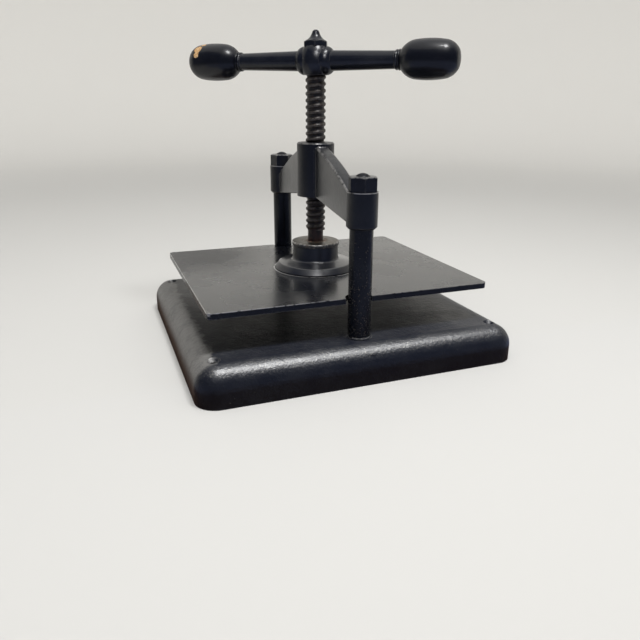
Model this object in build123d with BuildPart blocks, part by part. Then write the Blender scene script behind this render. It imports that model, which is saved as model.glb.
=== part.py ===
from build123d import *
import os
from math import cos, radians, sin, sqrt

os.makedirs("parts", exist_ok=True)

# Book press, in millimetres. X runs along the bridge, Y along the books, Z up from the bench.
# The origin is on the bench, under the screw. The press stands with a 35 mm gap under the platen.

# Base casting
base_width = 330.0  # along X
base_length = 343.0  # along Y
base_height = 38.0
base_roll = 22.0  # rolled rim and plan corners
base_wall = 9.0
rib_thickness = 8.0
rib_floor_gap = 5.0
bench_hole_x = 138.0
bench_hole_y = 151.0
bench_hole_radius = 3.75
bench_sink_radius = 6.8
bench_boss_radius = 13.0

# Columns
column_x = 128.0
column_radius = 11.65
column_pad_radius = 13.4
column_pad_height = 1.0
foot_stud_radius = 8.0
foot_stud_end = 3.0
head_stud_radius = 7.1
head_dome_rise = 3.0

# Foot nuts and washers, in the base's hollow
foot_boss_radius = 21.0
foot_boss_bottom = 16.5
foot_nut_room = 19.0  # radius cut out of the rib for a spanner
foot_washer_radius = 15.0
foot_washer_thickness = 2.5
foot_nut_flats = 24.0
foot_nut_height = 9.0

# Bridge casting
side_boss_radius = 15.2
side_boss_bottom = 149.0
side_boss_chamfer = 2.1
side_boss_top = 184.2
centre_boss_radius = 20.7
centre_boss_bottom = 162.8
centre_boss_chamfer = 1.2
centre_boss_top = 220.9
arm_thickness = 12.0
arm_bottom_side = 151.4
arm_bottom_centre = 163.5
arm_top_side = 173.8
arm_middle_x = 68.0
arm_top_middle = 199.8
arm_top_centre = 217.4
arm_root_round = 4.0
arm_top_round = 3.0
arm_bottom_round = 2.0

# Bridge nuts
bridge_nut_flats = 25.0
bridge_nut_height = 14.0
bridge_nut_turn = {"right": -15.0, "left": 17.0}

# Screw thread: single start, right hand
thread_pitch = 6.85
thread_radius = 11.0
thread_root_radius = 9.35
thread_root_width = 5.2
thread_crest_width = 2.6
thread_clearance = 0.28
thread_bottom = 124.0
thread_first_crest = 122.5  # height of the lowest turn of the ridge at +X

# Platen
platen_length = 305.0  # along Y
platen_width = 254.0  # along X
platen_thickness = 6.0
platen_top = 79.4
platen_corner = 6.0
platen_notch_radius = 14.6

# Swivel housing on the platen
flange_radius = 47.7
flange_rim = 1.2
flange_shoulder_round = 2.5
flange_shoulder_radius = 43.0
flange_shoulder_top = 88.6
flange_top = 91.2
collar_radius = 26.1
collar_root_round = 2.0
collar_top = 106.5
housing_bore_radius = 18.0
housing_floor = 84.4
cap_radius = 27.4
cap_rim_round = 0.9
cap_top = 111.1
neck_radius = 8.75
neck_clearance = 0.3

# Housing screws
housing_screw_circle = 35.0
housing_screw_radius = 3.0
housing_screw_head_radius = 6.0
housing_screw_top = 86.5

# Thrust collar and its pin, inside the housing
spigot_radius = 6.5
spigot_end = 84.7
thrust_collar_radius = 15.5
thrust_collar_bottom = 88.0
thrust_collar_top = 98.0
end_play = 0.1
pin_radius = 2.0
pin_recess = 0.6

# Handle
handle_axis = 304.0
handle_angle = 47.0
hub_radius = 14.3  # the barrel along the arms
hub_half_length = 19.4
hub_round_start = 11.0
hub_round_middle = (16.4, 13.1)
hub_bulge_radius = 17.0  # the ball about the screw
hub_end_radius = 12.3
hub_bottom = 290.0
hub_top = 318.0
arm_radius_at_hub = 10.1
arm_radius_at_knob = 8.7
bead_start = 87.6
bead_end = 91.2
bead_radius = 9.9
tang_radius = 5.5
tang_end = 138.0
drive_square = 14.0
square_clearance = 0.05

# Knobs
knob_neck_radius = 9.3
knob_ring_radius = 10.2
knob_ring_end = 93.4
knob_radius = 19.5
knob_waist = 122.0  # along the arm, where the knob is thickest
knob_root = 108.5
knob_root_radius = 18.7
knob_shoulder = 139.0
knob_shoulder_radius = 18.1
knob_corner = 151.6
knob_corner_radius = 9.0
knob_end = 153.2

# Finial nut
finial_flats = 23.6
finial_turn = 36.0
finial_base_top = 323.2
finial_rim = 0.5
finial_flare_radius = 11.0
finial_middle = 326.4
finial_middle_radius = 6.9
finial_neck = 329.8
finial_neck_radius = 4.6
finial_tip_radius = 3.5
finial_tip_start = 332.6
finial_top = 334.4
finial_stud_radius = 4.0
finial_stud_top = 325.0

# Fits, on the radius
stud_clearance = 0.1
loose_hole_clearance = 0.3
nut_clearance = 0.05
pin_fit = 0.02

sides = {"right": 1, "left": -1}


def hex_prism(flats, bottom, top, bore, turn=0.0, top_chamfer=0.0):
    """Hexagon nut about Z with a plain bore and a turned chamfer on its upper corners"""
    corner = flats / sqrt(3)
    with BuildPart() as nut:
        with BuildSketch(Plane.XY.offset(bottom)):
            RegularPolygon(corner, 6, rotation=turn)
            Circle(bore, mode=Mode.SUBTRACT)
        extrude(amount=top - bottom)
        if top_chamfer:
            with BuildSketch(Plane.XZ):
                with BuildLine():
                    Polyline(
                        (0, bottom),
                        (corner, bottom),
                        (corner, top - top_chamfer),
                        (flats / 2 - 0.3, top),
                        (0, top),
                        close=True,
                    )
                make_face()
            revolve(axis=Axis.Z, mode=Mode.INTERSECT)
    return nut.part


def thread_ridge(first_turn, turns, grow=0.0):
    """Right-hand ridge about Z from a whole turn up the screw, its foot buried in the core"""
    start = thread_first_crest + first_turn * thread_pitch
    flank = (thread_root_width - thread_crest_width) / 2 / (thread_radius - thread_root_radius)
    buried_radius = thread_root_radius - 0.5
    foot = thread_root_width / 2 + grow + flank * 0.5
    crest = thread_crest_width / 2 + grow
    with BuildPart() as ridge:
        with BuildLine():
            helix = Helix(
                pitch=thread_pitch,
                height=turns * thread_pitch,
                radius=thread_root_radius,
                center=(0, 0, start),
            )
        with BuildSketch(Plane.XZ):
            with BuildLine():
                Polyline(
                    (buried_radius, start - foot),
                    (thread_radius + grow, start - crest),
                    (thread_radius + grow, start + crest),
                    (buried_radius, start + foot),
                    close=True,
                )
            make_face()
        sweep(path=helix, is_frenet=True)
    return ridge.part


# Base: a hollow casting with a rolled rim, ribs, column bosses and bench screw bosses
bench_holes = [
    (x, y) for x in (-bench_hole_x, bench_hole_x) for y in (-bench_hole_y, bench_hole_y)
]
column_centres = [(-column_x, 0), (column_x, 0)]
hollow_roll = base_roll - base_wall
hollow_top = base_height - base_wall
with BuildPart() as hollow:
    with BuildSketch():
        Rectangle(base_width - 2 * base_wall, base_length - 2 * base_wall)
    extrude(amount=hollow_top)
    fillet(
        hollow.edges().filter_by(Axis.Z) + hollow.faces().sort_by(Axis.Z)[-1].edges(),
        radius=hollow_roll,
    )
with BuildPart() as base:
    with BuildSketch():
        Rectangle(base_width, base_length)
    extrude(amount=base_height)
    fillet(
        base.edges().filter_by(Axis.Z) + base.faces().sort_by(Axis.Z)[-1].edges(),
        radius=base_roll,
    )
    add(hollow.part, mode=Mode.SUBTRACT)
    with BuildSketch(Plane.XY.offset(hollow_top + 1)):
        Rectangle(base_width - base_wall, rib_thickness)
        Rectangle(rib_thickness, base_length - base_wall)
    extrude(amount=rib_floor_gap - hollow_top - 1)
    with BuildSketch(Plane.XY.offset(hollow_top + 1)):
        with Locations(*bench_holes):
            Circle(bench_boss_radius)
    extrude(amount=-hollow_top - 1)
    with BuildSketch(Plane.XY.offset(hollow_top + 1)):
        with Locations(*column_centres):
            Circle(foot_boss_radius)
    extrude(amount=foot_boss_bottom - hollow_top - 1)
    with BuildSketch():
        with Locations(*column_centres):
            Circle(foot_nut_room)
    extrude(amount=foot_boss_bottom, mode=Mode.SUBTRACT)
    with BuildSketch(Plane.XY.offset(base_height)):
        with Locations(*column_centres):
            Circle(column_pad_radius)
    extrude(amount=column_pad_height)
    with Locations(Plane.XY.offset(base_height + column_pad_height)):
        with Locations(*column_centres):
            Hole(radius=foot_stud_radius + stud_clearance)
    with Locations(Plane.XY.offset(base_height)):
        with Locations(*bench_holes):
            CounterSinkHole(radius=bench_hole_radius, counter_sink_radius=bench_sink_radius)
base.part.label = "base"
export_step(base.part, "parts/base.step")

# Columns, with a shoulder on the base's pad and another under the bridge
column_bottom = base_height + column_pad_height
head_stud_top = side_boss_top + bridge_nut_height
head_dome_radius = (head_stud_radius**2 + head_dome_rise**2) / (2 * head_dome_rise)
for side, sign in sides.items():
    with BuildPart() as column:
        with BuildSketch(Plane.XZ.shift_origin((sign * column_x, 0, 0))):
            with BuildLine():
                Polyline(
                    (0, foot_stud_end),
                    (foot_stud_radius - 1, foot_stud_end),
                    (foot_stud_radius, foot_stud_end + 1),
                    (foot_stud_radius, column_bottom),
                    (column_radius, column_bottom),
                    (column_radius, side_boss_bottom),
                    (head_stud_radius, side_boss_bottom),
                    (head_stud_radius, head_stud_top),
                )
                RadiusArc(
                    (head_stud_radius, head_stud_top),
                    (0, head_stud_top + head_dome_rise),
                    -head_dome_radius,
                )
                Line((0, head_stud_top + head_dome_rise), (0, foot_stud_end))
            make_face()
        revolve(axis=Axis((sign * column_x, 0, 0), (0, 0, 1)))
    column.part.label = f"column_{side}"
    export_step(column.part, f"parts/column_{side}.step")

# Washers and nuts under the base
washer_bottom = foot_boss_bottom - foot_washer_thickness
for side, sign in sides.items():
    with BuildPart() as washer:
        with BuildSketch(Plane.XY.offset(washer_bottom)):
            with Locations((sign * column_x, 0)):
                Circle(foot_washer_radius)
                Circle(foot_stud_radius + loose_hole_clearance, mode=Mode.SUBTRACT)
        extrude(amount=foot_washer_thickness)
    washer.part.label = f"base_washer_{side}"
    export_step(washer.part, f"parts/base_washer_{side}.step")

    foot_nut = Pos(sign * column_x, 0, 0) * hex_prism(
        foot_nut_flats,
        washer_bottom - foot_nut_height,
        washer_bottom,
        foot_stud_radius + nut_clearance,
    )
    foot_nut.label = f"base_nut_{side}"
    export_step(foot_nut, f"parts/base_nut_{side}.step")

# Bridge: arms that taper outwards, bosses, and the screw's thread through the centre boss
arm_inner_x = centre_boss_radius - 4
arm_outer_x = column_x - 9
with BuildPart() as bridge:
    with BuildSketch(Plane.XZ):
        with BuildLine():
            Line((0, arm_bottom_centre), (arm_inner_x, arm_bottom_centre))
            Line((arm_inner_x, arm_bottom_centre), (arm_outer_x, arm_bottom_side))
            Line((arm_outer_x, arm_bottom_side), (arm_outer_x, arm_top_side))
            ThreePointArc(
                (arm_outer_x, arm_top_side),
                (arm_middle_x, arm_top_middle),
                (arm_inner_x, arm_top_centre),
            )
            Line((arm_inner_x, arm_top_centre), (0, arm_top_centre))
            mirror(about=Plane.YZ)
        make_face()
    extrude(amount=arm_thickness / 2, both=True)
    arm_rims = bridge.edges().filter_by(
        lambda edge: abs(abs(edge.center().Y) - arm_thickness / 2) < 0.01
    )
    fillet(arm_rims.filter_by(GeomType.CIRCLE), radius=arm_top_round)
    arm_rims = bridge.edges().filter_by(
        lambda edge: abs(abs(edge.center().Y) - arm_thickness / 2) < 0.01
        and edge.center().Z < arm_bottom_centre
        and edge.length > side_boss_top - side_boss_bottom
    )
    fillet(arm_rims.filter_by(GeomType.LINE), radius=arm_bottom_round)
    with BuildSketch(Plane.XY.offset(centre_boss_bottom)):
        Circle(centre_boss_radius)
    extrude(amount=centre_boss_top - centre_boss_bottom)
    side_boss_wall = Plane.XY.offset(side_boss_bottom + side_boss_chamfer)
    with BuildSketch(side_boss_wall) as side_bosses:
        with Locations(*column_centres):
            Circle(side_boss_radius)
    extrude(amount=side_boss_top - side_boss_bottom - side_boss_chamfer)
    arm_roots = (
        bridge.edges()
        .filter_by(Axis.Z)
        .filter_by(lambda edge: abs(abs(edge.center().Y) - arm_thickness / 2) < 0.01)
    )
    fillet(arm_roots, radius=arm_root_round)
    extrude(side_bosses.sketch, amount=-side_boss_chamfer, taper=45)
    chamfer(bridge.faces().sort_by(Axis.Z)[-1].edges(), length=centre_boss_chamfer)
    with Locations(Plane.XY.offset(side_boss_top)):
        with Locations(*column_centres):
            Hole(radius=head_stud_radius + stud_clearance)
    with Locations(Plane.XY.offset(centre_boss_top)):
        Hole(radius=thread_root_radius + thread_clearance)
    add(thread_ridge(5, 10, thread_clearance), mode=Mode.SUBTRACT)
bridge.part.label = "bridge"
export_step(bridge.part, "parts/bridge.step")

# Nuts on top of the bridge
for side, sign in sides.items():
    bridge_nut = Pos(sign * column_x, 0, 0) * hex_prism(
        bridge_nut_flats,
        side_boss_top,
        side_boss_top + bridge_nut_height,
        head_stud_radius + nut_clearance,
        turn=bridge_nut_turn[side],
        top_chamfer=1.0,
    )
    bridge_nut.label = f"bridge_nut_{side}"
    export_step(bridge_nut, f"parts/bridge_nut_{side}.step")

# Platen, notched half round where it runs past the columns
platen_bottom = platen_top - platen_thickness
with BuildPart() as platen:
    with BuildSketch(Plane.XY.offset(platen_bottom)):
        RectangleRounded(platen_width, platen_length, platen_corner)
        with Locations(*column_centres):
            Circle(platen_notch_radius, mode=Mode.SUBTRACT)
    extrude(amount=platen_thickness)
    with Locations(Plane.XY.offset(platen_bottom).rotated((180, 0, 0))):
        with PolarLocations(housing_screw_circle, 4, start_angle=45):
            CounterSinkHole(
                radius=housing_screw_radius + stud_clearance,
                counter_sink_radius=housing_screw_head_radius,
            )
platen.part.label = "platen"
export_step(platen.part, "parts/platen.step")

# Swivel housing, bored from above for the thrust collar
with BuildPart() as swivel_housing:
    with BuildSketch(Plane.XZ):
        with BuildLine():
            Polyline(
                (0, platen_top),
                (flange_radius, platen_top),
                (flange_radius, platen_top + flange_rim),
                (flange_shoulder_radius, flange_shoulder_top),
                (collar_radius, flange_top),
                (collar_radius, collar_top),
                (housing_bore_radius, collar_top),
                (housing_bore_radius, housing_floor),
                (0, housing_floor),
                close=True,
            )
        make_face()
    revolve(axis=Axis.Z)
    rings = swivel_housing.edges().filter_by(GeomType.CIRCLE)
    shoulder = rings.filter_by(lambda edge: abs(edge.radius - flange_shoulder_radius) < 0.01)
    fillet(shoulder, radius=flange_shoulder_round)
    collar_root = swivel_housing.edges().filter_by(GeomType.CIRCLE).filter_by(
        lambda edge: abs(edge.radius - collar_radius) < 0.01 and edge.center().Z < collar_top - 1
    )
    fillet(collar_root, radius=collar_root_round)
    with Locations(Plane.XY.offset(platen_top).rotated((180, 0, 0))):
        with PolarLocations(housing_screw_circle, 4, start_angle=45):
            Hole(
                radius=housing_screw_radius + nut_clearance,
                depth=housing_screw_top + 0.5 - platen_top,
            )
swivel_housing.part.label = "swivel_housing"
export_step(swivel_housing.part, "parts/swivel_housing.step")

# Four countersunk screws up through the platen into the housing
head_depth = housing_screw_head_radius - housing_screw_radius - stud_clearance
with BuildPart() as housing_screws:
    with BuildSketch(Plane.XZ):
        with BuildLine():
            Polyline(
                (0, platen_bottom),
                (housing_screw_head_radius - stud_clearance, platen_bottom),
                (housing_screw_radius, platen_bottom + head_depth),
                (housing_screw_radius, housing_screw_top),
                (0, housing_screw_top),
                close=True,
            )
        make_face()
    revolve(axis=Axis.Z)
screw_places = PolarLocations(housing_screw_circle, 4, start_angle=45)
screw_set = Compound(
    label="housing_screws",
    children=[place * housing_screws.part for place in screw_places.local_locations],
)
export_step(screw_set, "parts/housing_screws.step")

# Retaining cap: a flange on the housing's rim and a skirt that holds the thrust collar down
with BuildPart() as retaining_cap:
    with BuildSketch(Plane.XZ):
        with BuildLine():
            Polyline(
                (neck_radius + neck_clearance, thrust_collar_top + end_play),
                (housing_bore_radius, thrust_collar_top + end_play),
                (housing_bore_radius, collar_top),
                (cap_radius, collar_top),
                (cap_radius, cap_top),
                (neck_radius + neck_clearance, cap_top),
                close=True,
            )
        make_face()
    revolve(axis=Axis.Z)
    rim = retaining_cap.edges().filter_by(GeomType.CIRCLE).filter_by(
        lambda edge: abs(edge.radius - cap_radius) < 0.01
    )
    fillet(rim, radius=cap_rim_round)
retaining_cap.part.label = "retaining_cap"
export_step(retaining_cap.part, "parts/retaining_cap.step")

# Screw: spigot, neck, thread, square for the handle and stud for the finial nut
pin_height = (thrust_collar_bottom + thrust_collar_top) / 2
with BuildPart() as screw:
    with BuildSketch(Plane.XZ):
        with BuildLine():
            Polyline(
                (0, spigot_end),
                (spigot_radius - 1.5, spigot_end),
                (spigot_radius, spigot_end + 1.5),
                (spigot_radius, thrust_collar_top),
                (neck_radius, thrust_collar_top),
                (neck_radius, thread_bottom - thread_pitch),
                (thread_root_radius, thread_bottom - thread_pitch),
                (thread_root_radius, hub_top),
                (0, hub_top),
                close=True,
            )
        make_face()
    revolve(axis=Axis.Z)
    add(thread_ridge(0, 25))
    with BuildSketch(Plane.XY.offset(thread_bottom)):
        Circle(thread_radius + 1)
        Circle(neck_radius, mode=Mode.SUBTRACT)
    extrude(amount=-2 * thread_pitch, mode=Mode.SUBTRACT)
    with BuildSketch(Plane.XY.offset(hub_bottom)):
        Circle(thread_radius + 1)
    extrude(amount=hub_top - hub_bottom, mode=Mode.SUBTRACT)
    with BuildSketch(Plane.XY.offset(hub_bottom)):
        Rectangle(drive_square, drive_square, rotation=handle_angle)
    extrude(amount=hub_top - hub_bottom - 1)
    with BuildSketch(Plane.XY.offset(hub_top - 1)):
        Circle(finial_stud_radius)
    extrude(amount=finial_stud_top - hub_top + 1)
    with BuildSketch(Plane.XZ):
        with Locations((0, pin_height)):
            Circle(pin_radius)
    extrude(amount=thrust_collar_radius, both=True, mode=Mode.SUBTRACT)
screw.part.label = "screw"
export_step(screw.part, "parts/screw.step")

# Thrust collar, cross-pinned to the spigot
with BuildPart() as thrust_collar:
    with BuildSketch(Plane.XY.offset(thrust_collar_bottom)):
        Circle(thrust_collar_radius)
        Circle(spigot_radius + pin_fit, mode=Mode.SUBTRACT)
    extrude(amount=thrust_collar_top - thrust_collar_bottom)
    with BuildSketch(Plane.XZ):
        with Locations((0, pin_height)):
            Circle(pin_radius)
    extrude(amount=thrust_collar_radius + 1, both=True, mode=Mode.SUBTRACT)
thrust_collar.part.label = "thrust_collar"
export_step(thrust_collar.part, "parts/thrust_collar.step")

with BuildPart() as collar_pin:
    with BuildSketch(Plane.XZ):
        with Locations((0, pin_height)):
            Circle(pin_radius)
    extrude(amount=thrust_collar_radius - pin_recess, both=True)
collar_pin.part.label = "collar_pin"
export_step(collar_pin.part, "parts/collar_pin.step")

# Handle: hub, two tapering arms, a bead before each knob and a tang inside it
along_arms = (cos(radians(handle_angle)), sin(radians(handle_angle)), 0)
across_arms = (sin(radians(handle_angle)), -cos(radians(handle_angle)), 0)
handle_plane = Plane(origin=(0, 0, handle_axis), x_dir=along_arms, z_dir=across_arms)
arm_line = Axis((0, 0, handle_axis), along_arms)
bead_middle = (bead_start + bead_end) / 2
hub_middle = (hub_bottom + hub_top) / 2
with BuildPart() as handle:
    with BuildSketch(handle_plane):
        with BuildLine():
            Polyline((0, 0), (0, hub_radius), (hub_round_start, hub_radius))
            ThreePointArc(
                (hub_round_start, hub_radius),
                hub_round_middle,
                (hub_half_length, arm_radius_at_hub),
            )
            Line((hub_half_length, arm_radius_at_hub), (bead_start, arm_radius_at_knob))
            ThreePointArc(
                (bead_start, arm_radius_at_knob),
                (bead_middle, bead_radius),
                (bead_end, arm_radius_at_knob),
            )
            Polyline(
                (bead_end, arm_radius_at_knob),
                (bead_end, tang_radius),
                (tang_end - 1, tang_radius),
                (tang_end, tang_radius - 1),
                (tang_end, 0),
                (0, 0),
            )
        make_face()
        mirror(about=Plane.YZ)
    revolve(axis=arm_line)
    with BuildSketch(Plane.XZ):
        with BuildLine():
            Line((0, hub_bottom), (hub_end_radius, hub_bottom))
            ThreePointArc(
                (hub_end_radius, hub_bottom),
                (hub_bulge_radius, hub_middle),
                (hub_end_radius, hub_top),
            )
            Polyline((hub_end_radius, hub_top), (0, hub_top), (0, hub_bottom))
        make_face()
    revolve(axis=Axis.Z)
    with BuildSketch(Plane.XY.offset(hub_top)):
        Circle(hub_radius * 2)
    extrude(amount=hub_radius, mode=Mode.SUBTRACT)
    with BuildSketch(Plane.XY.offset(hub_bottom)):
        Circle(hub_radius * 2)
    extrude(amount=-hub_radius, mode=Mode.SUBTRACT)
    hole_side = drive_square + 2 * square_clearance
    with BuildSketch(Plane.XY.offset(hub_bottom)):
        Rectangle(hole_side, hole_side, rotation=handle_angle)
    extrude(amount=hub_top - hub_bottom, mode=Mode.SUBTRACT)
handle.part.label = "handle"
export_step(handle.part, "parts/handle.step")

# Knobs: turned barrels with a ring at the neck, driven on to the tangs
knob_ring_middle = (bead_end + knob_ring_end) / 2
knob_cap_rise = knob_end - knob_corner
knob_cap_radius = (knob_corner_radius**2 + knob_cap_rise**2) / (2 * knob_cap_rise)
for side, sign in sides.items():
    with BuildPart() as knob:
        with BuildSketch(handle_plane):
            with BuildLine():
                root = TangentArc(
                    (sign * knob_waist, knob_radius),
                    (sign * knob_root, knob_root_radius),
                    tangent=(-sign, 0),
                )
                TangentArc(root @ 1, (sign * knob_ring_end, knob_neck_radius), tangent=root % 1)
                ThreePointArc(
                    (sign * knob_ring_end, knob_neck_radius),
                    (sign * knob_ring_middle, knob_ring_radius),
                    (sign * bead_end, knob_neck_radius),
                )
                shoulder = TangentArc(
                    (sign * knob_waist, knob_radius),
                    (sign * knob_shoulder, knob_shoulder_radius),
                    tangent=(sign, 0),
                )
                TangentArc(
                    shoulder @ 1,
                    (sign * knob_corner, knob_corner_radius),
                    tangent=shoulder % 1,
                )
                RadiusArc(
                    (sign * knob_corner, knob_corner_radius),
                    (sign * knob_end, 0),
                    sign * knob_cap_radius,
                )
                Polyline(
                    (sign * knob_end, 0),
                    (sign * (tang_end + 1), 0),
                    (sign * (tang_end + 1), tang_radius),
                    (sign * bead_end, tang_radius),
                    (sign * bead_end, knob_neck_radius),
                )
            make_face()
        revolve(axis=arm_line)
    knob.part.label = f"knob_{side}"
    export_step(knob.part, f"parts/knob_{side}.step")

# Finial nut: hexagon foot and a turned spire, with a blind hole for the stud
finial_cap_rise = finial_top - finial_tip_start
finial_cap_radius = (finial_tip_radius**2 + finial_cap_rise**2) / (2 * finial_cap_rise)
with BuildPart() as spire:
    with BuildSketch(Plane.XZ):
        with BuildLine():
            Polyline(
                (0, finial_base_top),
                (finial_flare_radius, finial_base_top),
                (finial_flare_radius, finial_base_top + finial_rim),
            )
            ThreePointArc(
                (finial_flare_radius, finial_base_top + finial_rim),
                (finial_middle_radius, finial_middle),
                (finial_neck_radius, finial_neck),
            )
            Line((finial_neck_radius, finial_neck), (finial_tip_radius, finial_tip_start))
            RadiusArc((finial_tip_radius, finial_tip_start), (0, finial_top), -finial_cap_radius)
            Line((0, finial_top), (0, finial_base_top))
        make_face()
    revolve(axis=Axis.Z)
with BuildPart() as finial_nut:
    add(
        hex_prism(
            finial_flats,
            hub_top,
            finial_base_top,
            finial_stud_radius + nut_clearance,
            turn=finial_turn,
            top_chamfer=0.8,
        )
    )
    add(spire.part)
    with BuildSketch(Plane.XY.offset(hub_top)):
        Circle(finial_stud_radius + nut_clearance)
    extrude(amount=finial_stud_top + 0.5 - hub_top, mode=Mode.SUBTRACT)
finial_nut.part.label = "finial_nut"
export_step(finial_nut.part, "parts/finial_nut.step")
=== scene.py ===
from math import ceil, cos, hypot, pi, radians, sin, sqrt, tan, tau

import bpy
from mathutils import Matrix, Vector, noise


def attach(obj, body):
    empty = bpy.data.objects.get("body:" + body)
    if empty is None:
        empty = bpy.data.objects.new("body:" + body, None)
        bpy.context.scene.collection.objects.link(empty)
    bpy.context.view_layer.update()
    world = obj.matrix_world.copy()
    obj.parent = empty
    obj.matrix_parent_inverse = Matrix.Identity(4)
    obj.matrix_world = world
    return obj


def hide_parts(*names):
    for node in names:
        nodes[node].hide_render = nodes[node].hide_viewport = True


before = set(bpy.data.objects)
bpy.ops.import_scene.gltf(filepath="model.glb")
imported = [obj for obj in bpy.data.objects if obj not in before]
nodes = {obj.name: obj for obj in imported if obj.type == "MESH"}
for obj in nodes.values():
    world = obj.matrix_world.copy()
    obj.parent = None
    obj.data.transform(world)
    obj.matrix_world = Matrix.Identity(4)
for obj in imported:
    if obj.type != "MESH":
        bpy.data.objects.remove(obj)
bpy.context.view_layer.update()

# Sizes repeated from the part, in metres
base_half_length = 0.1715
base_roll = 0.022
column_x = 0.128
column_foot = 0.039
side_boss_radius = 0.0152
side_boss_top = 0.1842
centre_boss_radius = 0.0207
bridge_nut_top = 0.1982
platen_half_width = 0.127
platen_half_length = 0.1525
platen_top = 0.0794
flange_radius = 0.0477
collar_radius = 0.0261
collar_top = 0.1065
housing_bore_radius = 0.018
housing_floor = 0.0844
cap_radius = 0.0274
cap_top = 0.1111
neck_radius = 0.00875
thread_pitch = 0.00685
thread_first_crest = 0.1225
thread_bottom = 0.124
thread_crest_radius = 0.011
thread_root_radius = 0.00935
spigot_radius = 0.0065
spigot_end = 0.0847
spigot_top = 0.098
drive_square = 0.014
stud_radius = 0.004
stud_top = 0.325
hub_bottom = 0.290
hub_top = 0.318
handle_angle = radians(47.0)

# Colours
black = (0.0022, 0.0030, 0.0062)
faded_black = (0.006, 0.007, 0.010)
worn_iron = (0.20, 0.195, 0.185)
dust = (0.10, 0.097, 0.09)
rust = (0.085, 0.038, 0.020)
bare_wood = (0.52, 0.30, 0.12)
pale_grain = (0.72, 0.55, 0.36)
dark_grain = (0.16, 0.075, 0.03)

# The chip in the left knob's lacquer: round spots on the knob's surface, each a place and a radius
chip_spots = (((-0.0846, -0.1015, 0.3218), 0.0026),
              ((-0.0831, -0.1088, 0.3172), 0.0046),
              ((-0.0808, -0.1119, 0.3112), 0.0030))


# Materials

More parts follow.
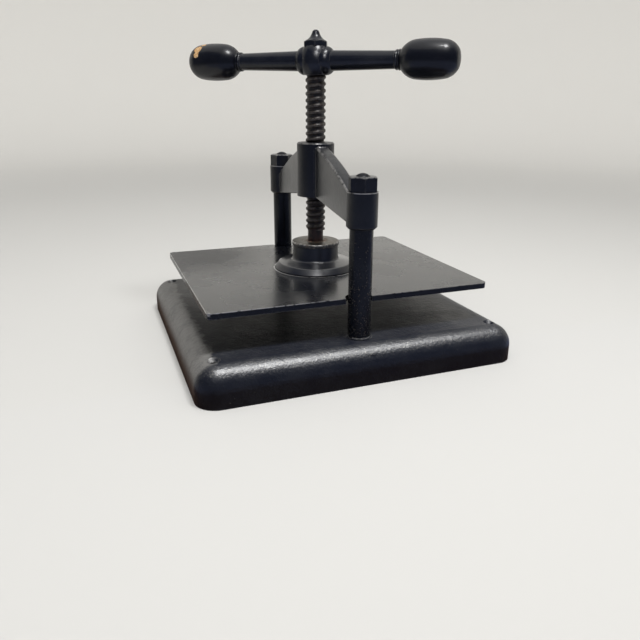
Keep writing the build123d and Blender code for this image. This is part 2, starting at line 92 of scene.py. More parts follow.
class Finish:
    """A material built up from a first colour: tints, changes of gloss, and relief"""

    def __init__(self, name, colour, roughness, metallic=0.0):
        self.material = bpy.data.materials.new(name)
        self.material.use_nodes = True
        self.tree = self.material.node_tree
        self.tree.nodes.clear()
        self.surface = self.add("ShaderNodeBsdfPrincipled")
        self.add("ShaderNodeOutputMaterial", {"Surface": self.surface.outputs[0]})
        self.point = self.add("ShaderNodeTexCoord").outputs["Object"]
        self.x, self.y, self.z = self.add("ShaderNodeSeparateXYZ", {0: self.point}).outputs
        self.normal = self.add("ShaderNodeNewGeometry").outputs["Normal"]
        _, self.across, self.upward = self.add("ShaderNodeSeparateXYZ", {0: self.normal}).outputs
        self.colour, self.roughness, self.metallic = (*colour, 1.0), roughness, metallic
        self.bump = None

    def feed(self, socket, value):
        """Set a socket's value, or link it to the socket given"""
        if isinstance(value, bpy.types.NodeSocket):
            self.tree.links.new(value, socket)
        else:
            socket.default_value = value

    def add(self, kind, values=None, **settings):
        """A shader node with its settings; values are numbers, colours or sockets to link"""
        made = self.tree.nodes.new(kind)
        for key, value in settings.items():
            setattr(made, key, value)
        for socket, value in (values or {}).items():
            self.feed(made.inputs[socket], value)
        return made

    def maths(self, operation, first, second=0.0, third=0.0):
        return self.add("ShaderNodeMath", {0: first, 1: second, 2: third},
                        operation=operation).outputs[0]

    def both(self, first, second, *rest):
        """The product of masks"""
        product = self.maths("MULTIPLY", first, second)
        return self.both(product, *rest) if rest else product

    def either(self, first, second, *rest):
        """The greatest of masks"""
        greater = self.maths("MAXIMUM", first, second)
        return self.either(greater, *rest) if rest else greater

    def ramp(self, value, low, high, from_value=0.0, to_value=1.0):
        """Smooth step of value between low and high"""
        return self.add("ShaderNodeMapRange",
                        {"Value": value, "From Min": low, "From Max": high,
                         "To Min": from_value, "To Max": to_value},
                        interpolation_type="SMOOTHSTEP").outputs["Result"]

    def band(self, value, centre, half_width, softness):
        """1 within half_width of centre"""
        away = self.maths("ABSOLUTE", self.maths("SUBTRACT", value, centre))
        return self.ramp(away, half_width + softness, half_width)

    def tall(self, low, high, softness=0.0003):
        """1 between two heights"""
        return self.band(self.z, (low + high) / 2, (high - low) / 2, softness)

    def noise(self, size, detail=2.0, roughness=0.5, point=None):
        """Noise whose features are about size metres across"""
        return self.add("ShaderNodeTexNoise",
                        {"Vector": point or self.point, "Scale": 1.0 / size, "Detail": detail,
                         "Roughness": roughness}).outputs["Fac"]

    def patches(self, size, low, high, detail=4.0, roughness=0.7):
        """1 in patches about size metres across, where noise rises from low to high"""
        return self.ramp(self.noise(size, detail, roughness), low, high)

    def soft_patches(self, size, low, high):
        """Patches with smoother outlines"""
        return self.patches(size, low, high, detail=3.0, roughness=0.5)

    def cells(self, size):
        """Distance from the middle of each random cell, in cells"""
        return self.add("ShaderNodeTexVoronoi", {"Vector": self.point,
                                                 "Scale": 1.0 / size}).outputs["Distance"]

    def specks(self, size, fill, cluster, share):
        """Small round spots that gather in patches: fill is their radius in cells"""
        spots = self.ramp(self.cells(size), fill, fill * 0.6)
        return self.both(spots, self.soft_patches(cluster, share, share + 0.1))

    def radius_about(self, x=0.0):
        """Distance from the upright line at x"""
        out = self.maths("SUBTRACT", self.x, x)
        return self.maths("SQRT", self.maths("ADD", self.both(out, out),
                                             self.both(self.y, self.y)))

    def spot(self, place, radius, softness, ragged=0.0):
        """1 within radius of a point, with an outline that wanders by up to half of ragged"""
        offset = self.add("ShaderNodeVectorMath", {0: self.point, 1: place},
                          operation="DISTANCE").outputs["Value"]
        if ragged:
            wander = self.maths("SUBTRACT", self.noise(0.002, 3.0, 0.6), 0.5)
            offset = self.maths("MULTIPLY_ADD", wander, ragged, offset)
        return self.ramp(offset, radius + softness, radius)

    def edges(self, radius, share, size=0.006):
        """1 on sharp edges, broken up by noise"""
        on_flat, on_edge = 0.985, 0.9  # the rounded normal along the real one
        rounded_normal = self.add("ShaderNodeBevel", {"Radius": radius}, samples=4).outputs[0]
        along = self.add("ShaderNodeVectorMath", {0: rounded_normal, 1: self.normal},
                         operation="DOT_PRODUCT").outputs["Value"]
        broken = self.soft_patches(size, 0.88 - share, 1.12 - share)
        return self.both(self.ramp(along, on_flat, on_edge), broken)

    def tint(self, mask, colour, strength=1.0):
        """Mix in a colour; 6 and 7 are the mix node's colour inputs and 2 is its colour output"""
        made = self.add("ShaderNodeMix", {"Factor": self.both(mask, strength), 6: self.colour,
                                          7: (*colour, 1.0)}, data_type="RGBA")
        self.colour = made.outputs[2]

    def shift_value(self, held, mask, value):
        change = self.maths("SUBTRACT", value, held)
        return self.maths("MULTIPLY_ADD", mask, change, held)

    def gloss(self, mask, roughness):
        self.roughness = self.shift_value(self.roughness, mask, roughness)

    def metal(self, mask, metallic):
        self.metallic = self.shift_value(self.metallic, mask, metallic)

    def relief(self, height, depth):
        """A bump: height runs from 0 to 1 and depth is in metres"""
        values = {"Height": height, "Distance": depth, "Strength": 1.0}
        if self.bump is not None:
            values["Normal"] = self.bump
        self.bump = self.add("ShaderNodeBump", values).outputs[0]

    def sink(self, mask, depth):
        """Relief that lies depth lower where mask is 1"""
        self.relief(self.maths("SUBTRACT", 1.0, mask), depth)

    def close(self, **inputs):
        """The finished material; inputs are further ones of its surface, with _ for spaces"""
        values = {"Base Color": self.colour, "Roughness": self.roughness,
                  "Metallic": self.metallic}
        if self.bump is not None:
            values["Normal"] = self.bump
        for name, value in inputs.items():
            values[name.replace("_", " ")] = value
        for name, value in values.items():
            self.feed(self.surface.inputs[name], value)
        return self.material


def age_paint(finish, dusty, wear=0.45):
    """Faded patches, dust on upper faces and edges rubbed to the iron"""
    finish.tint(finish.patches(0.03, 0.4, 0.75, roughness=0.6), faded_black)
    settled = finish.patches(0.012, 0.42, 0.75, detail=5.0)
    finish.tint(finish.both(finish.ramp(finish.upward, 0.6, 1.0), settled), dust, dusty)
    rubbed = finish.edges(radius=0.0006, share=wear)
    finish.tint(rubbed, worn_iron, 0.8)
    finish.metal(rubbed, 0.7)


def rub(finish, mask, colour=worn_iron, strength=0.85):
    """Paint worn through to the iron where mask is 1"""
    finish.tint(mask, colour, strength)
    finish.metal(mask, 0.6)
    finish.gloss(mask, 0.36)


def sand_cast(finish, depth):
    """The skin of a sand casting under its paint"""
    finish.relief(finish.noise(0.02), 0.0003)
    finish.relief(finish.noise(0.0045, 2.0, 0.6), depth)
    finish.relief(finish.noise(0.0018, 3.0, 0.6), depth * 0.7)


def base_paint():
    finish = Finish("base_paint", black, 0.33)
    age_paint(finish, dusty=0.06)
    # Paler grey along the left roll, partly paint rubbed to the iron and partly a painted reflection of
    # the pale wall, with a wandering inner edge, but not at the near corner
    wander, roll_inner = 0.022, base_roll - base_half_length
    uneven_y = finish.maths("MULTIPLY_ADD", finish.noise(0.009, 5.0, 0.7), wander, finish.y)
    left_roll_wear_and_reflection = finish.both(finish.ramp(uneven_y, roll_inner + 0.0135, roll_inner + 0.0095),
                            finish.ramp(finish.z, 0.004, 0.020),
                            finish.ramp(finish.x, 0.149, 0.141))
    mottled = finish.ramp(finish.noise(0.014, 5.0, 0.7), 0.34, 0.54, 0.55, 1.0)
    rub(finish, finish.both(left_roll_wear_and_reflection, mottled), colour=(0.15, 0.147, 0.142), strength=0.8)
    # Painted highlight: grains of paler, metallic grey, like bare iron, along the top of the near roll,
    # where they brighten and break up the lamp's highlight band
    near_roll_highlight_band = finish.both(finish.ramp(finish.x, 0.144, 0.150), finish.ramp(finish.z, 0.026, 0.032))
    painted_highlight_grains = finish.patches(0.0016, 0.54, 0.68, detail=3.0)
    rub(finish, finish.both(near_roll_highlight_band, painted_highlight_grains), colour=(0.16, 0.155, 0.14), strength=0.5)
    pale_specks = finish.specks(0.0035, fill=0.12, cluster=0.009, share=0.62)
    finish.tint(pale_specks, (0.30, 0.29, 0.27), 0.5)
    finish.gloss(finish.soft_patches(0.02, 0.35, 0.7), 0.4)
    sand_cast(finish, 0.00034)
    return finish.close(Specular_IOR_Level=0.4)


def bridge_paint():
    finish = Finish("bridge_paint", black, 0.3)
    age_paint(finish, wear=0.55, dusty=0.12)
    sideways = finish.maths("ABSOLUTE", finish.across)
    arm_edges = finish.both(finish.band(sideways, 0.55, 0.35, 0.08),
                            finish.ramp(finish.upward, 0.15, 0.4),
                            finish.patches(0.008, 0.42, 0.52))
    rub(finish, arm_edges, colour=(0.22, 0.215, 0.21), strength=0.8)
    for x in (-column_x, column_x):
        from_axis = finish.radius_about(x)
        rim = finish.both(finish.tall(side_boss_top - 0.0007, side_boss_top + 0.001),
                          finish.ramp(from_axis, side_boss_radius - 0.0009,
                                      side_boss_radius - 0.0004),
                          finish.ramp(from_axis, side_boss_radius + 0.001,
                                      side_boss_radius + 0.0005),
                          finish.soft_patches(0.004, 0.3, 0.5))
        rub(finish, rim, colour=(0.35, 0.345, 0.34))
    finish.gloss(finish.soft_patches(0.02, 0.35, 0.7), 0.37)
    blotched = finish.both(finish.ramp(finish.upward, 0.3, 0.5), finish.patches(0.006, 0.48, 0.6))
    finish.gloss(blotched, 0.55)
    sand_cast(finish, 0.00022)
    arm_faces = finish.either(finish.ramp(sideways, 0.85, 0.97),
                              finish.both(finish.ramp(finish.upward, 0.3, 0.6), 0.6))
    arm_middle, arm_half_length = 0.0680, 0.0475
    between_bosses = finish.band(finish.maths("ABSOLUTE", finish.x), arm_middle, arm_half_length, 0.002)
    return finish.close(Specular_IOR_Level=0.36,
                        Coat_Weight=finish.both(arm_faces, between_bosses, 0.82),
                        Coat_Roughness=0.3)


def platen_paint():
    finish = Finish("platen_paint", black, 0.24)
    age_paint(finish, wear=0.62, dusty=0.06)
    stains = finish.patches(0.06, 0.42, 0.62, roughness=0.6)
    finish.gloss(finish.both(stains, 0.8), 0.33)
    # Fine scratches, all one way across the top
    slant, slenderness = radians(31.0), 22.0
    drawn_out = finish.add("ShaderNodeMapping",
                           {"Vector": finish.point, "Scale": (1.0, slenderness, 1.0),
                            "Rotation": (0, 0, slant)}).outputs[0]
    scratches = finish.both(finish.ramp(finish.noise(0.03, 3.0, 0.7, drawn_out), 0.66, 0.70),
                            finish.ramp(finish.noise(0.02, 2.0), 0.52, 0.6),
                            finish.ramp(finish.upward, 0.9, 1.0))
    rub(finish, scratches, strength=0.25)
    # Bare metal along the top edges at the left and near sides, and on the corner between them
    left_arris = finish.ramp(finish.y, 0.0008 - platen_half_length, 0.0004 - platen_half_length)
    near_arris = finish.both(
        finish.ramp(finish.x, platen_half_width - 0.0008, platen_half_width - 0.0004),
        finish.ramp(finish.y, 0.02, -0.12, 0.25, 1.0))
    arris = finish.both(finish.either(left_arris, near_arris), finish.patches(0.006, 0.32, 0.5),
                        finish.ramp(finish.z, platen_top - 0.001, platen_top - 0.0005))
    rub(finish, arris, colour=(0.40, 0.395, 0.385))
    corner = (platen_half_width - 0.002, 0.002 - platen_half_length, platen_top - 0.001)
    rub(finish, finish.spot(corner, radius=0.0018, softness=0.0009, ragged=0.003),
        colour=(0.36, 0.35, 0.34), strength=0.6)
    # A bright ring where the flange stands on the platen
    flange_foot = finish.both(
        finish.band(finish.radius_about(), flange_radius + 0.0008, 0.0005, 0.0004),
        finish.soft_patches(0.009, 0.3, 0.5))
    rub(finish, flange_foot, colour=(0.55, 0.545, 0.535), strength=0.9)
    finish.relief(finish.noise(0.025, 2.0), 0.00008)
    finish.relief(finish.noise(0.0022, 3.0), 0.000014)
    # Its coat is thinner towards the far left, where little is mirrored
    far_left = finish.spot((-0.10, -0.13, platen_top), radius=0.03, softness=0.10)
    coat = finish.both(finish.ramp(finish.upward, 0.7, 0.95),
                       finish.maths("MULTIPLY_ADD", far_left, -0.72, 0.86))
    return finish.close(Specular_IOR_Level=0.22, Coat_Weight=coat, Coat_Roughness=0.19)


def gloss_paint(name, worn_nut_rims=False):
    finish = Finish(name, black, 0.26)
    age_paint(finish, wear=0.5, dusty=0.1)
    if worn_nut_rims:
        rim = finish.both(finish.ramp(finish.z, bridge_nut_top - 0.0013, bridge_nut_top - 0.0009),
                          finish.ramp(finish.z, bridge_nut_top + 0.0002, bridge_nut_top - 0.0002),
                          finish.patches(0.003, 0.4, 0.52))
        rub(finish, rim, colour=(0.30, 0.295, 0.29), strength=0.8)
    finish.relief(finish.noise(0.006, 2.0), 0.00012)
    finish.relief(finish.noise(0.0018, 2.0), 0.00003)
    return finish.close(Specular_IOR_Level=0.35)


def column_paint(pitted):
    finish = Finish("pitted_column" if pitted else "column_paint", black, 0.27)
    age_paint(finish, wear=0.5, dusty=0.1)
    foot = finish.both(finish.ramp(finish.z, column_foot + 0.0014, column_foot + 0.0006),
                       finish.soft_patches(0.005, 0.35, 0.5))
    rub(finish, foot, colour=(0.42, 0.415, 0.41))
    if pitted:
        # The lower the threshold, the more pits: most stand at the column's foot
        threshold_high, threshold_low = 0.60, 0.47
        threshold = finish.ramp(finish.z, 0.15, column_foot, threshold_high, threshold_low)
        pits = finish.both(finish.ramp(finish.cells(0.0021), 0.42, 0.2),
                           finish.maths("GREATER_THAN", finish.noise(0.0042, 4.0, 0.7), threshold))
        finish.tint(pits, (0.042, 0.036, 0.032))
        finish.gloss(pits, 0.6)
        finish.sink(pits, 0.00018)
    finish.relief(finish.noise(0.0017, 2.0), 0.00003)
    return finish.close(Specular_IOR_Level=0.22)


def knob_lacquer(chipped):
    finish = Finish("chipped_knob" if chipped else "knob_lacquer", black, 0.33)
    coat = 0.26
    if chipped:
        chip = finish.either(*(finish.spot(place, radius, softness=0.0006, ragged=0.004)
                               for place, radius in chip_spots))
        grain = finish.noise(0.0012, 4.0, 0.7)
        finish.tint(chip, bare_wood)
        finish.tint(finish.both(chip, finish.ramp(grain, 0.5, 0.62)), pale_grain)
        finish.tint(finish.both(chip, finish.ramp(grain, 0.46, 0.36)), dark_grain)
        finish.gloss(chip, 0.6)
        finish.sink(chip, 0.0005)
        coat = finish.maths("MULTIPLY_ADD", chip, -coat, coat)
    finish.gloss(finish.soft_patches(0.01, 0.4, 0.7), 0.40)
    finish.relief(finish.noise(0.012, 2.0), 0.00014)
    finish.relief(finish.noise(0.0026, 3.0), 0.00005)
    return finish.close(Specular_IOR_Level=0.24, Coat_Weight=coat, Coat_Roughness=0.12)


def housing_paint():
    finish = Finish("housing_paint", black, 0.3)
    age_paint(finish, wear=0.5, dusty=0.15)
    rings = finish.add("ShaderNodeCombineXYZ", {0: finish.radius_about(), 1: finish.z}).outputs[0]
    tool_marks = finish.noise(0.0013, 2.0, point=rings)
    turned = finish.both(finish.ramp(tool_marks, 0.55, 0.7), finish.soft_patches(0.012, 0.4, 0.6),
                         finish.ramp(finish.upward, 0.5, 0.9))
    rub(finish, turned, strength=0.3)
    finish.relief(tool_marks, 0.00004)
    finish.relief(finish.noise(0.0025, 2.0), 0.00004)
    sheen = finish.both(finish.ramp(finish.upward, 0.6, 0.95), 0.95)
    return finish.close(Specular_IOR_Level=0.6, Coat_Weight=sheen, Coat_Roughness=0.2)


def cap_steel():
    finish = Finish("cap_steel", (0.155, 0.147, 0.130), 0.36, metallic=1.0)
    finish.tint(finish.patches(0.006, 0.4, 0.7, roughness=0.6), (0.12, 0.10, 0.08))
    dark_side = finish.both(finish.ramp(finish.upward, 0.75, 0.45),
                            finish.patches(0.004, 0.36, 0.5))
    finish.tint(dark_side, (0.012, 0.012, 0.014))
    finish.metal(dark_side, 0.0)
    from_axis = finish.radius_about()
    bright_rim = finish.both(finish.band(from_axis, cap_radius - 0.0008, 0.0006, 0.0004),
                             finish.ramp(finish.z, cap_top - 0.0022, cap_top - 0.0012),
                             finish.patches(0.0035, 0.46, 0.58))
    finish.tint(bright_rim, (0.36, 0.35, 0.335), 0.8)
    finish.metal(bright_rim, 0.8)
    rusty = finish.both(finish.ramp(from_axis, 0.018, 0.010), finish.patches(0.004, 0.38, 0.6))
    finish.tint(rusty, rust)
    finish.metal(rusty, 0.0)
    finish.gloss(rusty, 0.75)
    finish.relief(finish.noise(0.004, 3.0), 0.00012)
    finish.relief(finish.noise(0.0012, 3.0), 0.00003)
    return finish.close()


def screw_steel():
    finish = Finish("screw_steel", (0.009, 0.0075, 0.007), 0.4)
    finish.tint(finish.patches(0.004, 0.45, 0.7), (0.024, 0.014, 0.010))
    reddish = finish.both(finish.tall(cap_top, thread_bottom + 0.002, softness=0.002),
                          finish.soft_patches(0.006, 0.35, 0.6))
    finish.tint(reddish, (0.028, 0.013, 0.010))
    rubbed_crests = finish.both(
        finish.ramp(finish.radius_about(), thread_crest_radius - 0.0005, thread_crest_radius - 0.0001),
        finish.patches(0.005, 0.34, 0.56))
    finish.tint(rubbed_crests, (0.090, 0.080, 0.073))
    finish.metal(rubbed_crests, 0.6)
    finish.relief(finish.noise(0.0008, 3.0), 0.00004)
    return finish.close(Specular_IOR_Level=0.35)


def plain_steel():
    finish = Finish("plain_steel", (0.30, 0.29, 0.28), 0.42, metallic=1.0)
    finish.tint(finish.patches(0.008, 0.45, 0.75, roughness=0.6), (0.12, 0.09, 0.07))
    finish.relief(finish.noise(0.0008, 3.0), 0.00003)
    return finish.close()


gloss = gloss_paint("gloss_paint")
nut = gloss_paint("nut_paint", worn_nut_rims=True)
steel = plain_steel()
finishes = {
    "base": base_paint(), "bridge": bridge_paint(),
    "column_right": column_paint(pitted=True), "column_left": column_paint(pitted=False),
    "bridge_nut_right": nut, "bridge_nut_left": nut, "handle": gloss, "finial_nut": gloss,
    "platen": platen_paint(), "swivel_housing": housing_paint(), "retaining_cap": cap_steel(),
    "screw": screw_steel(), "knob_right": knob_lacquer(chipped=False),
    "knob_left": knob_lacquer(chipped=True),
}
for node_name, node in nodes.items():
    node.material_slots[0].material = finishes.get(node_name, steel)


# Meshes

def add_mesh(name, points, faces, smooth=False):
    """An object with this mesh, in the scene"""
    mesh = bpy.data.meshes.new(name)
    mesh.from_pydata(points, [], faces)
    for polygon in mesh.polygons:
        polygon.use_smooth = smooth
    made = bpy.data.objects.new(name, mesh)
    bpy.context.scene.collection.objects.link(made)
    return made


def turns_of(around, first=0.0):
    """Angles all the way round, from the first"""
    return [first + step / around * tau for step in range(around)]


def circle(radius, height, turns):
    return [(radius * cos(turn), radius * sin(turn), height) for turn in turns]


def ring_faces(rings, around, closed=False):
    """The faces between rings of points; closed also joins the last ring to the first"""
    faces = []
    for level in range(rings if closed else rings - 1):
        above = (level + 1) % rings
        for turn in range(around):
            beside = (turn + 1) % around
            faces.append((level * around + turn, level * around + beside,
                          above * around + beside, above * around + turn))
    return faces


def ring_stack(name, rings, node_name, body, replacing=True, looped=False):
    """A closed surface from rings of points: its two ends closed flat, or joined to each other"""
    around = len(rings[0])
    points = [point for ring in rings for point in ring]
    faces = ring_faces(len(rings), around, closed=looped)
    if not looped:
        faces.append(tuple(reversed(range(around))))
        faces.append(tuple(range(len(points) - around, len(points))))
    made = add_mesh(name, points, faces, smooth=True)
    made.data.validate()
    made.data.set_sharp_from_angle(angle=radians(38))
    made.data.materials.append(finishes[node_name])
    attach(made, body)
    if replacing:
        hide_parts(node_name)
    return made


# Screw, with the rounded crests and grooves of a worn thread

def smooth_step(value, low, high):
    share = min(1.0, max(0.0, (value - low) / (high - low)))
    return share * share * (3 - 2 * share)


def build_screw():
    turns = turns_of(96, first=handle_angle + pi / 4)
    ring_gap = 0.0005
    crest_edge, groove_edge = 0.00075, 0.00275  # measured up and down from a crest's middle
    wear_depth, wear_rate, wear_size = 0.00009, 60, 3
    end_chamfer = 0.0015
    square_top = hub_top - 0.001

    def square(height, half):
        made = []
        for turn in turns:
            radius = half / max(abs(cos(turn - handle_angle)), abs(sin(turn - handle_angle)))
            made.append((radius * cos(turn), radius * sin(turn), height))
        return made

    def threaded(height):
        made = []
        for turn in turns:
            crest = thread_first_crest + thread_pitch * turn / tau
            away = abs((height - crest + thread_pitch / 2) % thread_pitch - thread_pitch / 2)
            place = Vector((cos(turn), sin(turn), height * wear_rate)) * wear_size
            worn = wear_depth * noise.noise(place)
            rise = smooth_step(away, groove_edge, crest_edge)
            radius = thread_root_radius + (thread_crest_radius - thread_root_radius + worn) * rise
            made.append((radius * cos(turn), radius * sin(turn), height))
        return made

    rings = [circle(spigot_radius - end_chamfer, spigot_end, turns),
             circle(spigot_radius, spigot_end + end_chamfer, turns),
             circle(spigot_radius, spigot_top, turns), circle(neck_radius, spigot_top, turns),
             circle(neck_radius, thread_bottom, turns)]
    steps = ceil((hub_bottom - thread_bottom) / ring_gap)
    for step in range(steps + 1):
        rings.append(threaded(thread_bottom + (hub_bottom - thread_bottom) * step / steps))
    rings += [square(hub_bottom, drive_square / 2), square(square_top, drive_square / 2),
              circle(stud_radius, square_top, turns), circle(stud_radius, stud_top, turns)]
    ring_stack("screw_thread", rings, "screw", "screw_body")


# Bridge arms, fuller than the part's, with rounded edges and roots

def circle_through(first, second, third):
    """Centre and radius of the circle through three points"""
    (ax, az), (bx, bz), (cx, cz) = first, second, third
    twice = 2 * (ax * (bz - cz) + bx * (cz - az) + cx * (az - bz))
    a, b, c = ax * ax + az * az, bx * bx + bz * bz, cx * cx + cz * cz
    x = (a * (bz - cz) + b * (cz - az) + c * (az - bz)) / twice
    z = (a * (cx - bx) + b * (ax - cx) + c * (bx - ax)) / twice
    return x, z, hypot(ax - x, az - z)


def build_arm(name, sign):
    inner, outer = 0.0167, 0.119
    bottom_inner, bottom_outer = 0.1630, 0.1493
    top_outer, top_middle, top_inner = (outer, 0.1739), (0.068, 0.2006), (inner, 0.2175)
    half_thickness, root_round = 0.00725, 0.003
    top_round, bottom_round = 0.0025, 0.0018
    even_steps, root_steps, corner_steps = 40, 12, 6
    arc_x, arc_z, arc_radius = circle_through(top_outer, top_middle, top_inner)

    # Rings stand close where the arm widens into a round boss
    roots = []
    stations = [inner, outer]
    stations += [inner + (outer - inner) * step / even_steps for step in range(2, even_steps - 1)]
    for boss_x, boss_radius in ((0.0, centre_boss_radius), (column_x, side_boss_radius)):
        reach = boss_radius + root_round
        start = sqrt(reach ** 2 - (half_thickness + root_round) ** 2)
        length = start * root_round / reach
        roots.append((boss_x, start, length))
        toward = 1 if boss_x == 0 else -1
        stations += [boss_x + toward * (start - length * step / root_steps)
                     for step in range(root_steps + 1)]

    def widening(x, boss_x, start, length):
        """How much wider the arm is here, where it runs into a round boss"""
        inward = max(0.0, min(start - abs(x - boss_x), length))
        return root_round - sqrt(root_round ** 2 - inward ** 2)

    rings = []
    for x in sorted(stations):
        half = half_thickness + sum(widening(x, *root) for root in roots)
        top = arc_z + sqrt(arc_radius ** 2 - (x - arc_x) ** 2)
        bottom = bottom_inner + (bottom_outer - bottom_inner) * (x - inner) / (outer - inner)
        ring = []
        for side, height, round_radius, first_angle in (
                (1, bottom, bottom_round, -pi / 2), (1, top, top_round, 0.0),
                (-1, top, top_round, pi / 2), (-1, bottom, bottom_round, pi)):
            inset = round_radius if height == bottom else -round_radius
            for step in range(corner_steps + 1):
                angle = first_angle + step / corner_steps * pi / 2
                y = side * (half - round_radius) + round_radius * cos(angle)
                z = height + inset + round_radius * sin(angle)
                ring.append((sign * x, sign * y, z))
        rings.append(ring)
    ring_stack(name, rings, "bridge", "frame", replacing=False)


# Swivel housing and its cap, turned, with the rounds that years of paint gave them

def rounded(profile, steps=6):
    """Points of a profile of radii and heights, each corner rounded by its third number"""
    made = []
    for index, (radius, height, corner) in enumerate(profile):
        here = Vector((radius, height))
        if not corner:
            made.append(here)
            continue
        before = (Vector(profile[index - 1][:2]) - here).normalized()
        after = (Vector(profile[(index + 1) % len(profile)][:2]) - here).normalized()
        half_angle = before.angle(after) / 2
        start, end = here + before * corner / tan(half_angle), here + after * corner / tan(half_angle)
        for step in range(steps + 1):
            share = step / steps
            made.append(start * (1 - share) ** 2 + here * 2 * share * (1 - share)
                        + end * share ** 2)
    return made


def turned_piece(name, profile, node_name, looped=False):
    turns = turns_of(128)
    rings = [circle(radius, height, turns) for radius, height in rounded(profile)]
    return ring_stack(name, rings, node_name, "platen_body", looped=looped)


def build_housing():
    foot_radius, rim_radius, rim_height, rim_round = 0.0467, 0.0471, 0.0014, 0.0006
    shoulder_radius, shoulder_height, shoulder_round = 0.0424, 0.0868, 0.0022
    slope_radius, slope_height = 0.0355, 0.0881
    root_height, root_round, collar_taper = 0.0903, 0.0030, 0.0004
    return turned_piece("turned_housing", (
        (foot_radius, platen_top, 0), (rim_radius, platen_top + rim_height, rim_round),
        (shoulder_radius, shoulder_height, shoulder_round), (slope_radius, slope_height, 0),
        (collar_radius + collar_taper, root_height, root_round), (collar_radius, collar_top, 0),
        (housing_bore_radius, collar_top, 0), (housing_bore_radius, housing_floor, 0)),
        "swivel_housing")


def build_cap():
    skirt_gap, neck_gap = 0.0001, 0.0004
    skirt_radius, skirt_bottom = housing_bore_radius - skirt_gap, 0.0982
    hole_radius = neck_radius + neck_gap
    lower_round, upper_round = 0.0009, 0.0019
    return turned_piece("turned_cap", (
        (hole_radius, skirt_bottom, 0), (skirt_radius, skirt_bottom, 0),
        (skirt_radius, collar_top, 0), (cap_radius, collar_top, lower_round),
        (cap_radius, cap_top, upper_round), (hole_radius, cap_top, 0)),
        "retaining_cap", looped=True)


# CAD pieces with sharp arrises get a small round

def soften(node_name, width):
    bevel = nodes[node_name].modifiers.new("softened", "BEVEL")
    bevel.width = width
    bevel.segments = 2
    bevel.limit_method = "ANGLE"
    bevel.angle_limit = radians(32)
    bevel.harden_normals = True


build_screw()
build_arm("arm_right", 1)
build_arm("arm_left", -1)
housing = build_housing()
cap = build_cap()
for softened, round_width in (("platen", 0.0004), ("bridge_nut_right", 0.0004),
                              ("bridge_nut_left", 0.0004), ("finial_nut", 0.0003)):
    soften(softened, round_width)


# Stage: a round pale floor that curves up into a wall, so that every view has the same background

def bowl(name, floor_radius, curve_radius, wall_top):
    curve_steps, around = 12, 96
    profile = [(0.0, 0.0), (floor_radius, 0.0)]
    for step in range(1, curve_steps + 1):
        angle = step / curve_steps * pi / 2
        profile.append((floor_radius + curve_radius * sin(angle), curve_radius * (1 - cos(angle))))
    profile.append((floor_radius + curve_radius, wall_top))
    turns = turns_of(around)
    points = [point for radius, height in profile for point in circle(radius, height, turns)]
    return add_mesh(name, points, ring_faces(len(profile), around), smooth=True)


floor = bowl("floor", floor_radius=2.2, curve_radius=1.2, wall_top=3.4)
floor_finish = Finish("floor", (0.50, 0.495, 0.48), 0.9)
floor_finish.tint(floor_finish.ramp(floor_finish.radius_about(), 1.2, 3.2), (0.76, 0.75, 0.725))
floor.data.materials.append(floor_finish.close(Specular_IOR_Level=0.1))


# Light

def only_lights(lamp, *objects):
    """The lamp lights only these objects"""
    lit = bpy.data.collections.new(lamp.name + "_lit")
    for lit_object in objects:
        lit.objects.link(lit_object)
    lamp.light_linking.receiver_collection = lit


def area_light(name, place, target, size, power, size_y=None):
    """A round lamp aimed at its target, or an oblong one if size_y is given"""
    data = bpy.data.lights.new(name, "AREA")
    data.shape = "RECTANGLE" if size_y else "DISK"
    data.size = size
    if size_y:
        data.size_y = size_y
    data.energy = power
    lamp = bpy.data.objects.new(name, data)
    bpy.context.scene.collection.objects.link(lamp)
    lamp.location = place
    lamp.rotation_mode = "QUATERNION"
    lamp.rotation_quaternion = (Vector(target) - Vector(place)).to_track_quat("-Z", "Y")
    return lamp


area_light("key", place=(0.36, 0.10, 1.25), target=(0.0, 0.0, 0.2), size=0.30, power=10, size_y=0.30)
strip = area_light("strip", place=(0.27, 0.20, 0.95), target=(0.27, 0.20, 0), size=0.12, power=21,
                   size_y=0.9)
only_lights(strip, nodes["base"])
front = area_light("front", place=(1.4, -0.35, 1.4), target=(0, 0, 0.1), size=0.7, power=27)
only_lights(front, housing, cap, nodes["finial_nut"], nodes["handle"])
wash = area_light("wall_wash", place=(1.3, -0.5, 2.6), target=(-2.6, 1.0, 0.9), size=1.6, power=50)
only_lights(wash, floor)


# Surroundings that show only in reflections: a dim room behind the camera, its bluish floor and a
# brown bench top under the press

def reflected_only(name, points, faces, colour):
    made = add_mesh(name, points, faces)
    glow = Finish(name, (0, 0, 0), 1.0)
    made.data.materials.append(glow.close(Emission_Color=(*colour, 1.0), Emission_Strength=1.0,
                                          Specular_IOR_Level=0.0))
    for rays in ("visible_camera", "visible_diffuse", "visible_shadow", "visible_transmission"):
        setattr(made, rays, False)


def half_room(name, radius, height, middle_angle, colour):
    """A half cylinder of wall round the press, its middle at an angle from +X"""
    steps = 24
    points, faces = [], []
    for step in range(steps + 1):
        turn = middle_angle + (step / steps - 0.5) * pi
        points += [(radius * cos(turn), radius * sin(turn), level) for level in (0.0, height)]
    for step in range(steps):
        faces.append((2 * step, 2 * step + 2, 2 * step + 3, 2 * step + 1))
    reflected_only(name, points, faces, colour)


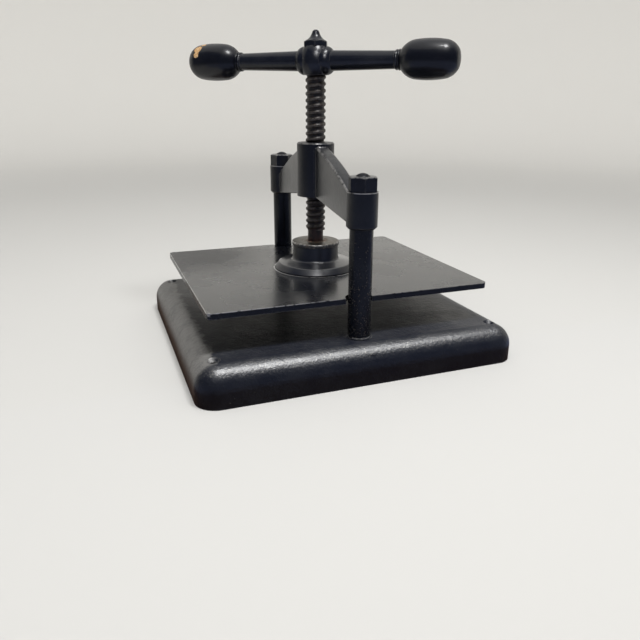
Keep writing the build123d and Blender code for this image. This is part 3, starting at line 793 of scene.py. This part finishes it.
def ground(name, low_x, high_x, half_y, height, colour):
    points = [(low_x, -half_y, height), (high_x, -half_y, height), (high_x, half_y, height),
              (low_x, half_y, height)]
    reflected_only(name, points, [(0, 1, 2, 3)], colour)


half_room("dim_room", radius=1.5, height=2.2, middle_angle=radians(-21.7), colour=(0.085, 0.10, 0.16))
ground("bench_top", low_x=-0.26, high_x=0.26, half_y=0.21, height=0.0004, colour=(0.10, 0.055, 0.035))
ground("dim_floor", low_x=0.1, high_x=1.5, half_y=1.2, height=0.0002, colour=(0.34, 0.39, 0.60))
world = bpy.data.worlds.new("room")
world.use_nodes = True
background = world.node_tree.nodes["Background"]
background.inputs["Color"].default_value = (1.0, 0.995, 0.98, 1)
background.inputs["Strength"].default_value = 0.85
bpy.context.scene.world = world
bpy.context.scene.view_settings.view_transform = "Standard"


# Camera at the photograph's viewing angle, from the fit to its 640 pixel frame
frame_pixels = 640
focal_pixels = 606.7
centre_pixel = (329.8, 313.7)
camera_azimuth = radians(68.34)
camera_elevation = radians(19.34)
camera_roll = radians(0.55)
camera_place = Vector((0.6530, -0.2405, 0.2643))

back = Vector((sin(camera_azimuth) * cos(camera_elevation),
               -cos(camera_azimuth) * cos(camera_elevation), sin(camera_elevation)))
level_right = Vector((cos(camera_azimuth), sin(camera_azimuth), 0))
level_up = back.cross(level_right)
camera_right = cos(camera_roll) * level_right + sin(camera_roll) * level_up
camera_up = cos(camera_roll) * level_up - sin(camera_roll) * level_right
lens = bpy.data.cameras.new("camera")
lens.sensor_width = 36
lens.lens = focal_pixels / frame_pixels * lens.sensor_width
lens.shift_x = (frame_pixels / 2 - centre_pixel[0]) / frame_pixels
lens.shift_y = (centre_pixel[1] - frame_pixels / 2) / frame_pixels
lens.clip_start = 0.01
camera = bpy.data.objects.new("camera", lens)
bpy.context.scene.collection.objects.link(camera)
camera.matrix_world = Matrix.Translation(camera_place) @ Matrix(
    (camera_right, camera_up, back)).transposed().to_4x4()
bpy.context.scene.camera = camera
